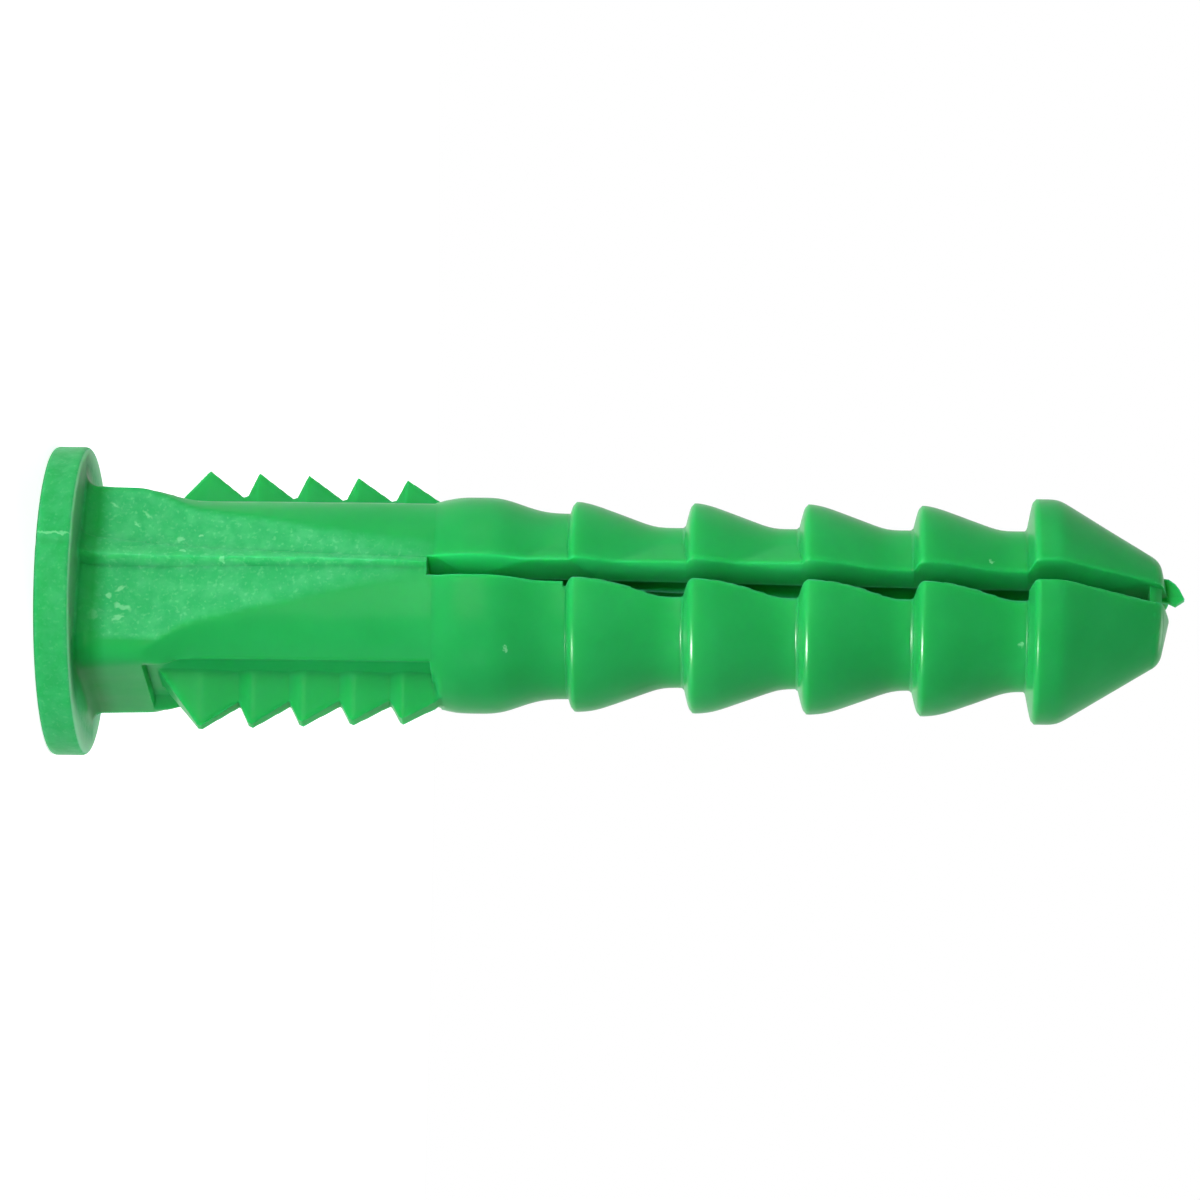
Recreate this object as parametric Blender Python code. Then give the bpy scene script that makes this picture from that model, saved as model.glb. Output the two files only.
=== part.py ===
"""Ribbed plastic wall anchor, moulded in one piece.

The anchor stands on its flange. The outer face of the flange is the plane z = 0 and the nose points
along +z. The two toothed fins are on the x axis. The slit lies in the plane x = 0, so that its
mouths are at -y and +y. Everything but the gate mark is the same after half a turn about z.
"""
import math

import bmesh
import bpy
from mathutils import Matrix, Vector

MM = 0.001

# Flange that stops the anchor at the face of the wall
FLANGE_RADIUS = 5.28 * MM
FLANGE_THICKNESS = 1.19 * MM
FLANGE_EDGE_RADIUS = 0.16 * MM

# Square neck that runs down into the round shank
NECK_CORNER_RADIUS = 4.60 * MM
NECK_LENGTH = 3.60 * MM
NECK_FLAT_DISTANCE = 3.10 * MM
SHANK_RADIUS = 3.54 * MM
SHANK_LENGTH = 12.00 * MM
FACE_DISTANCE_AT_FLANGE = 2.88 * MM
FACE_DISTANCE_AT_COLLAR = 3.52 * MM

# Pockets in the sides of the shank, where the fins stand
POCKET_FLOOR = 2.80 * MM
POCKET_WIDTH = 3.92 * MM
POCKET_FROM_FLANGE = 1.80 * MM
POCKET_BEFORE_COLLAR = 0.10 * MM

# Toothed fins that stop the anchor from turning and from backing out
FIN_FROM_FLANGE = 2.60 * MM
FIN_FOOT_HEIGHT = 0.22 * MM
FIN_FOOT_LENGTH = 0.70 * MM
FIRST_TOOTH_FROM_FLANGE = 3.98 * MM
TOOTH_PITCH = 1.71 * MM
TOOTH_LEAN = 0.40 * MM
TOOTH_ROOT_WIDTH = 1.60 * MM
TOOTH_TIP_WIDTH = 0.36 * MM
FIRST_TOOTH_RADIUS = 4.76 * MM
LAST_TOOTH_RADIUS = 4.42 * MM
GULLET_ROOT_WIDTH = 1.20 * MM
GULLET_TOP_WIDTH = 0.60 * MM
FIRST_GULLET_RADIUS = 3.74 * MM
LAST_GULLET_RADIUS = 3.60 * MM

# Collar and waist between the shank and the rings
COLLAR_RADIUS = 3.69 * MM
COLLAR_RISE = 0.70 * MM
COLLAR_LENGTH = 1.40 * MM
COLLAR_FALL = 1.50 * MM
COLLAR_ROUNDING = 2.00 * MM
WAIST_RADIUS = 3.17 * MM
WAIST_LENGTH = 0.78 * MM

# Barbed rings along the split part
RING_COUNT = 4
RING_PITCH = 3.87 * MM
FIRST_RING_EXTRA = 0.15 * MM
RING_RADIUS = 3.60 * MM
RING_SHOULDER_RUN = 0.20 * MM
RING_CREST_LENGTH = 0.72 * MM
RING_CONE_ANGLE = math.radians(20.0)
RING_CREST_ROUNDING = 0.28 * MM
RING_FOOT_ROUNDING = 0.15 * MM
VALLEY_RADIUS = 2.73 * MM
VALLEY_ROUNDING = 3.00 * MM

# Last ring and the nose
LAST_RING_RADIUS = 3.83 * MM
LAST_RING_CREST_LENGTH = 0.88 * MM
NOSE_CONE_ANGLE = math.radians(31.1)
NOSE_END_RADIUS = 1.75 * MM
NOSE_DOME_HEIGHT = 0.38 * MM
NOSE_ROUNDING = 0.45 * MM

# Screw bore, wide at the flange and narrow at the nose
BORE_MOUTH_RADIUS = 2.55 * MM
BORE_LEAD_IN = 0.60 * MM
BORE_RADIUS = 2.15 * MM
BORE_END_RADIUS = 1.10 * MM
BORE_DEPTH = 33.50 * MM
BORE_POINT_LENGTH = 1.00 * MM

# Slit that lets the two legs spread, with one lip cut back in the valleys between the rings
SLIT_WIDTH_AT_COLLAR = 0.70 * MM
SLIT_WIDTH_AT_NOSE = 0.66 * MM
SLIT_BEFORE_COLLAR = 0.20 * MM
LIP_RELIEF_IN_VALLEY = 0.30 * MM

# Web that holds the tips of the legs together
WEB_LENGTH = 1.15 * MM
WEB_RECESS = 0.16 * MM

# Parting ridge, with a steep side by the slit plane and a gentle one
RIDGE_WIDTH_AT_FLANGE = 1.00 * MM
RIDGE_WIDTH_AT_SLIT = 0.40 * MM
RIDGE_HEIGHT_AT_FLANGE = 0.40 * MM
RIDGE_HEIGHT_AT_SLIT = 0.08 * MM
RIDGE_STEEP_RUN = 0.08 * MM
RIDGE_SINK = 0.05 * MM

# Flash along one lip of each slit mouth: a fan that fills the waist and one that fills the first valleys
WAIST_FAN_DISTANCE = 3.61 * MM
WAIST_FAN_FOOT_X = 1.10 * MM
WAIST_FAN_FOOT_Y = 2.93 * MM
VALLEY_FAN_DISTANCE = 3.50 * MM
VALLEY_FAN_FOOT_X = 1.50 * MM
VALLEY_FAN_FOOT_Y = 2.26 * MM
VALLEY_FAN_RINGS = 2

# Gate mark: the torn flake on the nose
GATE_THICKNESS = 0.24 * MM
GATE_PROUD = 0.44 * MM
GATE_WIDTH = 0.80 * MM
GATE_FROM_AXIS = 0.25 * MM
GATE_SKEW = 0.30 * MM
GATE_LOW_CORNER = 0.13 * MM
GATE_PEAK_INSET = 0.16 * MM

# Mesh fineness and the overlap of shapes that are joined or cut
TURNING_STEPS = 48
ARC_STEP = math.radians(22.0)
OVERLAP = 0.30 * MM
CUT_REACH = 2.0 * FLANGE_RADIUS
HALF_TURN = math.pi
WELD_DISTANCE = 0.00002 * MM

PLASTIC_GREEN = (0.030, 0.440, 0.110, 1.0)
PLASTIC_ROUGHNESS = 0.38

SHANK_END = FLANGE_THICKNESS + SHANK_LENGTH
COLLAR_END = SHANK_END + COLLAR_RISE + COLLAR_LENGTH + COLLAR_FALL
RINGS_START = COLLAR_END + WAIST_LENGTH
LAST_RING_START = RINGS_START + RING_COUNT * RING_PITCH + FIRST_RING_EXTRA
LAST_CREST_END = LAST_RING_START + RING_SHOULDER_RUN + LAST_RING_CREST_LENGTH
NOSE_CONE_LENGTH = (LAST_RING_RADIUS - NOSE_END_RADIUS) / math.tan(NOSE_CONE_ANGLE)
NOSE_EDGE = LAST_CREST_END + NOSE_CONE_LENGTH
NOSE_END = NOSE_EDGE + NOSE_DOME_HEIGHT
SLIT_START = SHANK_END - SLIT_BEFORE_COLLAR
FIRST_TOOTH = FLANGE_THICKNESS + FIRST_TOOTH_FROM_FLANGE
TOOTH_COUNT = 1 + math.floor((SHANK_END - FIRST_TOOTH) / TOOTH_PITCH)


def clear_scene():
    for old_object in list(bpy.data.objects):
        bpy.data.objects.remove(old_object, do_unlink=True)


def plastic_material():
    material = bpy.data.materials.new("green_plastic")
    material.use_nodes = True
    shader = material.node_tree.nodes["Principled BSDF"]
    shader.inputs["Base Color"].default_value = PLASTIC_GREEN
    shader.inputs["Roughness"].default_value = PLASTIC_ROUGHNESS
    return material


def add_object(name, shape):
    """Turn a bmesh into an object, with its faces pointing out."""
    bmesh.ops.recalc_face_normals(shape, faces=shape.faces)
    mesh = bpy.data.meshes.new(name)
    shape.to_mesh(mesh)
    shape.free()
    mesh.shade_smooth()
    mesh.set_sharp_from_angle(angle=math.radians(35.0))
    added = bpy.data.objects.new(name, mesh)
    bpy.context.collection.objects.link(added)
    return added


def corner_arc(before, corner, after, rounding):
    """Points of the arc that rounds a corner, no longer than half of either side."""
    arriving = corner - before
    leaving = after - corner
    turn = arriving.angle_signed(leaving)
    longest = 0.49 * min(arriving.length, leaving.length)
    trim = min(rounding * abs(math.tan(turn / 2.0)), longest)
    if trim < WELD_DISTANCE:
        return [corner]
    radius = trim / abs(math.tan(turn / 2.0))
    start = corner - arriving.normalized() * trim
    towards_centre = Matrix.Rotation(math.copysign(math.pi / 2.0, -turn), 2) @ arriving.normalized()
    centre = start + towards_centre * radius
    steps = max(1, math.ceil(abs(turn) / ARC_STEP))
    spokes = [Matrix.Rotation(-turn * step / steps, 2) @ (start - centre) for step in range(steps + 1)]
    return [centre + spoke for spoke in spokes]


def rounded_profile(corners):
    """Profile points (radius, height) of a chain of corners, each given as radius, height, rounding."""
    places = [Vector((radius, height)) for radius, height, _ in corners]
    points = [places[0]]
    for index in range(1, len(corners) - 1):
        rounding = corners[index][2]
        points += corner_arc(places[index - 1], places[index], places[index + 1], rounding)
    points.append(places[-1])
    return points


def turned_solid(name, corners):
    """Solid of revolution about z. Its profile starts and ends on the axis."""
    shape = bmesh.new()
    chain = [shape.verts.new((point.x, 0.0, point.y)) for point in rounded_profile(corners)]
    for lower, upper in zip(chain, chain[1:]):
        shape.edges.new((lower, upper))
    profile = shape.verts[:] + shape.edges[:]
    bmesh.ops.spin(
        shape,
        geom=profile,
        cent=(0.0, 0.0, 0.0),
        axis=(0.0, 0.0, 1.0),
        angle=2.0 * math.pi,
        steps=TURNING_STEPS,
        use_merge=True,
    )
    bmesh.ops.remove_doubles(shape, verts=shape.verts, dist=WELD_DISTANCE)
    return add_object(name, shape)


def lofted_solid(name, loops, turn=0.0):
    """Solid through a row of loops of as many points, turned about z by an angle."""
    shape = bmesh.new()
    rings = [[shape.verts.new(point) for point in loop] for loop in loops]
    for ring, next_ring in zip(rings, rings[1:]):
        for index in range(len(ring)):
            following = (index + 1) % len(ring)
            shape.faces.new((ring[index], ring[following], next_ring[following], next_ring[index]))
    shape.faces.new(rings[0])
    shape.faces.new(rings[-1])
    bmesh.ops.rotate(shape, verts=shape.verts, cent=(0.0, 0.0, 0.0), matrix=Matrix.Rotation(turn, 3, "Z"))
    return add_object(name, shape)


def side_block(name, outline, half_width, turn=0.0):
    """Block with its outline in the x-z plane, as wide on both sides of that plane."""
    sides = [[(out, across, height) for out, height in outline] for across in (-half_width, half_width)]
    return lofted_solid(name, sides, turn)


def combine(body, tool, operation):
    """Cut a hidden tool out of the body, or join it on."""
    tool.hide_render = True
    tool.display_type = "WIRE"
    modifier = body.modifiers.new(tool.name, "BOOLEAN")
    modifier.operation = operation
    modifier.solver = "EXACT"
    modifier.object = tool


def flange_corners():
    return [
        (0.0, 0.0, 0.0),
        (FLANGE_RADIUS, 0.0, FLANGE_EDGE_RADIUS),
        (FLANGE_RADIUS, FLANGE_THICKNESS, FLANGE_EDGE_RADIUS),
    ]


def shank_corners():
    collar_start = SHANK_END + COLLAR_RISE
    collar_fall_start = collar_start + COLLAR_LENGTH
    return [
        (NECK_CORNER_RADIUS, FLANGE_THICKNESS, 0.0),
        (SHANK_RADIUS, FLANGE_THICKNESS + NECK_LENGTH, COLLAR_ROUNDING),
        (SHANK_RADIUS, SHANK_END, COLLAR_ROUNDING),
        (COLLAR_RADIUS, collar_start, COLLAR_ROUNDING),
        (COLLAR_RADIUS, collar_fall_start, COLLAR_ROUNDING),
        (WAIST_RADIUS, COLLAR_END, COLLAR_ROUNDING),
    ]


def ring_corners(start, foot_radius):
    """One barb: a steep shoulder that faces the flange and a cone that falls towards the nose."""
    crest_start = start + RING_SHOULDER_RUN
    cone_start = crest_start + RING_CREST_LENGTH
    cone_length = (RING_RADIUS - VALLEY_RADIUS) / math.tan(RING_CONE_ANGLE)
    return [
        (foot_radius, start, RING_FOOT_ROUNDING),
        (RING_RADIUS, crest_start, RING_CREST_ROUNDING),
        (RING_RADIUS, cone_start, RING_CREST_ROUNDING),
        (VALLEY_RADIUS, cone_start + cone_length, VALLEY_ROUNDING),
    ]


def rings_corners():
    corners = ring_corners(RINGS_START, WAIST_RADIUS)
    for ring in range(1, RING_COUNT):
        corners += ring_corners(RINGS_START + FIRST_RING_EXTRA + ring * RING_PITCH, VALLEY_RADIUS)
    return corners


def nose_corners():
    return [
        (VALLEY_RADIUS, LAST_RING_START, RING_FOOT_ROUNDING),
        (LAST_RING_RADIUS, LAST_RING_START + RING_SHOULDER_RUN, RING_CREST_ROUNDING),
        (LAST_RING_RADIUS, LAST_CREST_END, RING_CREST_ROUNDING),
        (NOSE_END_RADIUS, NOSE_EDGE, NOSE_ROUNDING),
        (0.0, NOSE_END, 0.0),
    ]


def cut_neck_faces(body):
    """Two flats level with the axis on the fin sides, and two sloping faces on the slit sides."""
    for side in range(2):
        flat = [
            (NECK_FLAT_DISTANCE, FLANGE_THICKNESS),
            (CUT_REACH, FLANGE_THICKNESS),
            (CUT_REACH, SHANK_END),
            (NECK_FLAT_DISTANCE, SHANK_END),
        ]
        turn = side * HALF_TURN
        combine(body, side_block(f"neck_flat_{side}", flat, CUT_REACH, turn), "DIFFERENCE")
        face = [
            (FACE_DISTANCE_AT_FLANGE, FLANGE_THICKNESS),
            (CUT_REACH, FLANGE_THICKNESS),
            (CUT_REACH, SHANK_END),
            (FACE_DISTANCE_AT_COLLAR, SHANK_END),
        ]
        turn = (side + 0.5) * HALF_TURN
        combine(body, side_block(f"rough_face_{side}", face, CUT_REACH, turn), "DIFFERENCE")


def cut_pockets(body):
    start = FLANGE_THICKNESS + POCKET_FROM_FLANGE
    end = SHANK_END - POCKET_BEFORE_COLLAR
    outline = [(POCKET_FLOOR, start), (CUT_REACH, start), (CUT_REACH, end), (POCKET_FLOOR, end)]
    for side in range(2):
        pocket = side_block(f"pocket_{side}", outline, POCKET_WIDTH / 2.0, side * HALF_TURN)
        combine(body, pocket, "DIFFERENCE")


def fin_sections():
    """Height, reach, root width and outer width of each section along a fin.

    The foot of the fin fills the pocket's width. Each tooth rises steeply on the side of the flange,
    at its tip and at both its sides, and falls gently towards the nose.
    """
    foot = Vector((FLANGE_THICKNESS + FIN_FROM_FLANGE, POCKET_FLOOR + FIN_FOOT_HEIGHT))
    foot_width = POCKET_WIDTH + 2.0 * OVERLAP
    first_peak = Vector((FIRST_TOOTH, FIRST_TOOTH_RADIUS))
    brow = foot.lerp(first_peak, FIN_FOOT_LENGTH / (first_peak.x - foot.x))
    sections = [
        (foot.x, foot.y, foot_width, foot_width),
        (brow.x, brow.y, TOOTH_ROOT_WIDTH, GULLET_TOP_WIDTH),
    ]
    for tooth in range(TOOTH_COUNT):
        share = tooth / max(1, TOOTH_COUNT - 1)
        peak = FIRST_TOOTH + tooth * TOOTH_PITCH
        peak_radius = FIRST_TOOTH_RADIUS + share * (LAST_TOOTH_RADIUS - FIRST_TOOTH_RADIUS)
        gullet = peak + TOOTH_PITCH - TOOTH_LEAN
        gullet_radius = FIRST_GULLET_RADIUS + share * (LAST_GULLET_RADIUS - FIRST_GULLET_RADIUS)
        sections.append((peak, peak_radius, TOOTH_ROOT_WIDTH, TOOTH_TIP_WIDTH))
        sections.append((gullet, gullet_radius, GULLET_ROOT_WIDTH, GULLET_TOP_WIDTH))
    tail = max(gullet, SHANK_END) + OVERLAP
    sections.append((tail, LAST_GULLET_RADIUS, GULLET_ROOT_WIDTH, GULLET_TOP_WIDTH))
    return sections


def fin_loop(height, reach, root_width, outer_width):
    """Section of a fin, from the width at its buried root to the width at its reach."""
    buried = POCKET_FLOOR - OVERLAP
    return [
        (buried, -root_width / 2.0, height),
        (reach, -outer_width / 2.0, height),
        (reach, outer_width / 2.0, height),
        (buried, root_width / 2.0, height),
    ]


def add_fins(body):
    loops = [fin_loop(*section) for section in fin_sections()]
    for side in range(2):
        combine(body, lofted_solid(f"fin_{side}", loops, side * HALF_TURN), "UNION")


def ridge_loop(width, ridge_height, height):
    """Section of the parting ridge, with its root sunk in the sloping face beside the slit plane."""
    slope = (FACE_DISTANCE_AT_COLLAR - FACE_DISTANCE_AT_FLANGE) / SHANK_LENGTH
    face = FACE_DISTANCE_AT_FLANGE + slope * (height - FLANGE_THICKNESS)
    root = face - RIDGE_SINK
    return [
        (RIDGE_STEEP_RUN, -root, height),
        (-RIDGE_STEEP_RUN, -face - ridge_height, height),
        (-width, -root, height),
    ]


def add_parting_ridges(body):
    first = ridge_loop(RIDGE_WIDTH_AT_FLANGE, RIDGE_HEIGHT_AT_FLANGE, FLANGE_THICKNESS - OVERLAP)
    second = ridge_loop(RIDGE_WIDTH_AT_SLIT, RIDGE_HEIGHT_AT_SLIT, SLIT_START + OVERLAP)
    for side in range(2):
        ridge = lofted_solid(f"parting_ridge_{side}", [first, second], side * HALF_TURN)
        combine(body, ridge, "UNION")


def add_fan(body, name, section, start, end):
    """Flash along one lip of each slit mouth, from one height to another."""
    loops = [[(across, depth, height) for across, depth in section] for height in (start, end)]
    for side in range(2):
        combine(body, lofted_solid(f"{name}_{side}", loops, side * HALF_TURN), "UNION")


def add_lip_flash(body):
    waist_fan = [
        (0.0, -WAIST_FAN_DISTANCE),
        (-WAIST_FAN_FOOT_X, -WAIST_FAN_FOOT_Y),
        (0.0, -WAIST_FAN_FOOT_Y),
    ]
    add_fan(body, "waist_fan", waist_fan, COLLAR_END - COLLAR_FALL, RINGS_START + RING_SHOULDER_RUN)
    valley_fan = [
        (0.0, -VALLEY_FAN_DISTANCE),
        (-VALLEY_FAN_FOOT_X, -VALLEY_FAN_FOOT_Y),
        (0.0, -VALLEY_FAN_FOOT_Y),
    ]
    end = RINGS_START + FIRST_RING_EXTRA + VALLEY_FAN_RINGS * RING_PITCH + RING_SHOULDER_RUN
    add_fan(body, "valley_fan", valley_fan, RINGS_START + RING_SHOULDER_RUN, end)


def cut_bore(body):
    lead_in_slope = (BORE_MOUTH_RADIUS - BORE_RADIUS) / BORE_LEAD_IN
    corners = [
        (0.0, -OVERLAP, 0.0),
        (BORE_MOUTH_RADIUS + lead_in_slope * OVERLAP, -OVERLAP, 0.0),
        (BORE_RADIUS, BORE_LEAD_IN, 0.0),
        (BORE_END_RADIUS, BORE_DEPTH, 0.0),
        (0.0, BORE_DEPTH + BORE_POINT_LENGTH, 0.0),
    ]
    bore = turned_solid("screw_bore", corners)
    bore.rotation_euler.z = HALF_TURN / TURNING_STEPS
    combine(body, bore, "DIFFERENCE")


def cut_slit(body):
    """The slit narrows towards the nose and runs out through its end."""
    outline = [
        (-SLIT_WIDTH_AT_COLLAR / 2.0, SLIT_START),
        (SLIT_WIDTH_AT_COLLAR / 2.0, SLIT_START),
        (SLIT_WIDTH_AT_NOSE / 2.0, NOSE_END + OVERLAP),
        (-SLIT_WIDTH_AT_NOSE / 2.0, NOSE_END + OVERLAP),
    ]
    combine(body, side_block("slit", outline, CUT_REACH), "DIFFERENCE")


def cut_lip_relief(body):
    """Wedge along one lip of each slit mouth, which leaves the crests and cuts the valleys back."""
    wall = SLIT_WIDTH_AT_NOSE / 2.0
    lean = LIP_RELIEF_IN_VALLEY / (RING_RADIUS - VALLEY_RADIUS)
    section = [
        (wall, -RING_RADIUS),
        (wall + lean * (RING_RADIUS - BORE_END_RADIUS), -BORE_END_RADIUS),
        (wall - OVERLAP, -BORE_END_RADIUS),
        (wall - OVERLAP, -RING_RADIUS),
    ]
    heights = (RINGS_START, LAST_RING_START)
    loops = [[(across, depth, height) for across, depth in section] for height in heights]
    for side in range(2):
        combine(body, lofted_solid(f"lip_relief_{side}", loops, side * HALF_TURN), "DIFFERENCE")


def add_tip_web(body):
    """Thin wall inside the end of the slit, set back from the surface of the nose."""
    start = NOSE_END - WEB_LENGTH
    start_reach = NOSE_END_RADIUS + (NOSE_EDGE - start) * math.tan(NOSE_CONE_ANGLE) - WEB_RECESS
    end_reach = NOSE_END_RADIUS - 2.0 * WEB_RECESS
    outline = [
        (start_reach, start),
        (end_reach, NOSE_EDGE),
        (-end_reach, NOSE_EDGE),
        (-start_reach, start),
    ]
    half = SLIT_WIDTH_AT_NOSE / 2.0 + OVERLAP
    sides = [[(across, reach, height) for reach, height in outline] for across in (-half, half)]
    combine(body, lofted_solid("tip_web", sides), "UNION")


def add_gate_mark(body):
    """Torn flake of the gate, on the end of one leg."""
    start = NOSE_EDGE - OVERLAP
    inner = -GATE_FROM_AXIS
    outer = -(GATE_FROM_AXIS + GATE_WIDTH)
    outline = [
        (inner, start),
        (outer, start),
        (outer + GATE_SKEW, NOSE_END + GATE_LOW_CORNER),
        (inner + GATE_PEAK_INSET, NOSE_END + GATE_PROUD),
        (0.0, NOSE_END),
    ]
    depths = (inner - GATE_THICKNESS, inner)
    sides = [[(across, depth, height) for across, height in outline] for depth in depths]
    combine(body, lofted_solid("gate_mark", sides), "UNION")


def build_anchor():
    corners = flange_corners() + shank_corners() + rings_corners() + nose_corners()
    anchor = turned_solid("wall_anchor", corners)
    anchor.data.materials.append(plastic_material())
    cut_neck_faces(anchor)
    cut_pockets(anchor)
    add_fins(anchor)
    add_parting_ridges(anchor)
    add_lip_flash(anchor)
    cut_bore(anchor)
    cut_slit(anchor)
    cut_lip_relief(anchor)
    add_tip_web(anchor)
    add_gate_mark(anchor)


clear_scene()
build_anchor()
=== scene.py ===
import math

import bmesh
import bpy
from mathutils import Matrix, Vector


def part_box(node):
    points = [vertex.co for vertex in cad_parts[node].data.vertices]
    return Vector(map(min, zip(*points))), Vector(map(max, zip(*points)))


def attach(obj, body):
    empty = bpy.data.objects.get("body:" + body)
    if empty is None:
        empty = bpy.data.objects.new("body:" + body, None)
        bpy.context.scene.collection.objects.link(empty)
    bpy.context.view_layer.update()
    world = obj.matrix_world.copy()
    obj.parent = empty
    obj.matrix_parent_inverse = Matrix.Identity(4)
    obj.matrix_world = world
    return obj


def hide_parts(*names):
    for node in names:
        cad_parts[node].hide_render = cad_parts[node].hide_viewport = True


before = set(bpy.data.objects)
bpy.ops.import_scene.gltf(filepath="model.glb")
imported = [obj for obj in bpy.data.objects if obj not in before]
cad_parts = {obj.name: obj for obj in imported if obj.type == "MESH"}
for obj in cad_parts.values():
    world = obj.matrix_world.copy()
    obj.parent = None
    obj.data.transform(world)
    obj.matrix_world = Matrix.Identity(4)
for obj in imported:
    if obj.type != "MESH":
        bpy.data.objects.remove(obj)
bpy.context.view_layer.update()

# The blank
# The anchor is one shot of green plastic. This blank is its skin before it takes its form: rows of
# points round the axis, from the tip of the nose, down the outside, under the flange and up the bore.
MM = 0.001
FLANGE_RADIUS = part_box("wall_anchor")[1].x
FLANGE_THICKNESS = 1.19 * MM
FLANGE_ROUNDING = 0.20 * MM
SHANK_END = 13.19 * MM
COLLAR_START = 13.89 * MM
COLLAR_FALL = 15.29 * MM
RINGS_START = 17.57 * MM
RING_COUNT = 4
RING_PITCH = 3.87 * MM
FIRST_RING_EXTRA = 0.15 * MM
SHOULDER_RUN = 0.20 * MM
LAST_RING_START = RINGS_START + RING_COUNT * RING_PITCH + FIRST_RING_EXTRA
LAST_CREST_WIDTH = 1.08 * MM
LAST_CREST_END = LAST_RING_START + LAST_CREST_WIDTH
LAST_RING_RADIUS = 3.83 * MM
NOSE_SLOPE = math.tan(math.radians(31.1))
NOSE_END_RADIUS = 1.75 * MM
NOSE_EDGE = LAST_CREST_END + (LAST_RING_RADIUS - NOSE_END_RADIUS) / NOSE_SLOPE
NOSE_DOME = 0.38 * MM
NOSE_END = NOSE_EDGE + NOSE_DOME
NOSE_TRIM = 0.26 * MM
NOSE_ROUNDING = NOSE_TRIM * 1.15
BORE_MOUTH_RADIUS = 2.55 * MM
BORE_RADIUS = 2.15 * MM
BORE_END_RADIUS = 1.10 * MM
BORE_LEAD_IN = 0.60 * MM
BORE_DEPTH = 33.50 * MM
BORE_POINT = BORE_DEPTH + 1.0 * MM
MOUTH_ROUNDING = 0.12 * MM
LEAD_IN_ROUNDING = 0.15 * MM
SLIT_WIDTH = 0.68 * MM
LIP_LEAN = 0.30 / 0.87
NECK_FILLET = 0.40 * MM
POCKET_START = FLANGE_THICKNESS + 2.25 * MM
POCKET_END = SHANK_END - 0.10 * MM
FIN_START = FLANGE_THICKNESS + 2.60 * MM
FIRST_TOOTH = FLANGE_THICKNESS + 3.98 * MM
TOOTH_COUNT = 5
TOOTH_PITCH = 1.71 * MM
TOOTH_LEAN = 0.40 * MM
SPOKES = 232
SPOKE_CROWDING = 0.6
ROW_MARGIN = 0.1 * MM
CREST_MARGIN = 0.2 * MM
CONE_MARGIN = 1.3 * MM
FIN_MARGIN = 0.05 * MM


def spread(start, end, count):
    """Evenly spaced values from the start, the end left out."""
    return [start + (end - start) * step / count for step in range(count)]


def rounded_corner(before, corner, after, trim, count):
    """Points of a curve that rounds a corner, from trim before it to trim after it."""
    first = corner + (before - corner).normalized() * trim
    last = corner + (after - corner).normalized() * trim
    shares = [step / count for step in range(count + 1)]
    return [first.lerp(corner, t).lerp(corner.lerp(last, t), t) for t in shares]


def skin_heights():
    """Heights of the rows on the outside, close together where the form is steep."""
    heights = spread(NOSE_EDGE - NOSE_TRIM, LAST_CREST_END + CREST_MARGIN, 22)
    heights += spread(LAST_CREST_END + CREST_MARGIN, LAST_RING_START + SHOULDER_RUN, 10)
    heights += spread(LAST_RING_START + SHOULDER_RUN, LAST_RING_START - ROW_MARGIN, 11)
    for ring in reversed(range(RING_COUNT)):
        start = RINGS_START + ring * RING_PITCH + (FIRST_RING_EXTRA if ring else 0.0)
        top = start + RING_PITCH + (0.0 if ring else FIRST_RING_EXTRA)
        heights += spread(top - ROW_MARGIN, start + CONE_MARGIN, 13)
        heights += spread(start + CONE_MARGIN, start + SHOULDER_RUN, 10)
        heights += spread(start + SHOULDER_RUN, start - ROW_MARGIN, 11)
    heights += spread(RINGS_START - ROW_MARGIN, POCKET_END + ROW_MARGIN, 26)
    heights += spread(POCKET_END + ROW_MARGIN, POCKET_END - ROW_MARGIN, 6)
    for tooth in reversed(range(TOOTH_COUNT)):
        peak = FIRST_TOOTH + tooth * TOOTH_PITCH
        gullet = peak + TOOTH_PITCH - TOOTH_LEAN
        heights += spread(min(gullet, POCKET_END - ROW_MARGIN), peak, 9)
        heights += spread(peak, peak - TOOTH_LEAN, 8)
    heights += spread(FIRST_TOOTH - TOOTH_LEAN, FIN_START + FIN_MARGIN, 10)
    heights += spread(FIN_START + FIN_MARGIN, FIN_START - FIN_MARGIN, 4)
    heights += spread(FIN_START - FIN_MARGIN, POCKET_START + ROW_MARGIN, 6)
    heights += spread(POCKET_START + ROW_MARGIN, POCKET_START - ROW_MARGIN, 6)
    heights += spread(POCKET_START - ROW_MARGIN, FLANGE_THICKNESS + NECK_FILLET, 9)
    heights += spread(FLANGE_THICKNESS + NECK_FILLET, FLANGE_THICKNESS, 9)
    return heights


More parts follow.
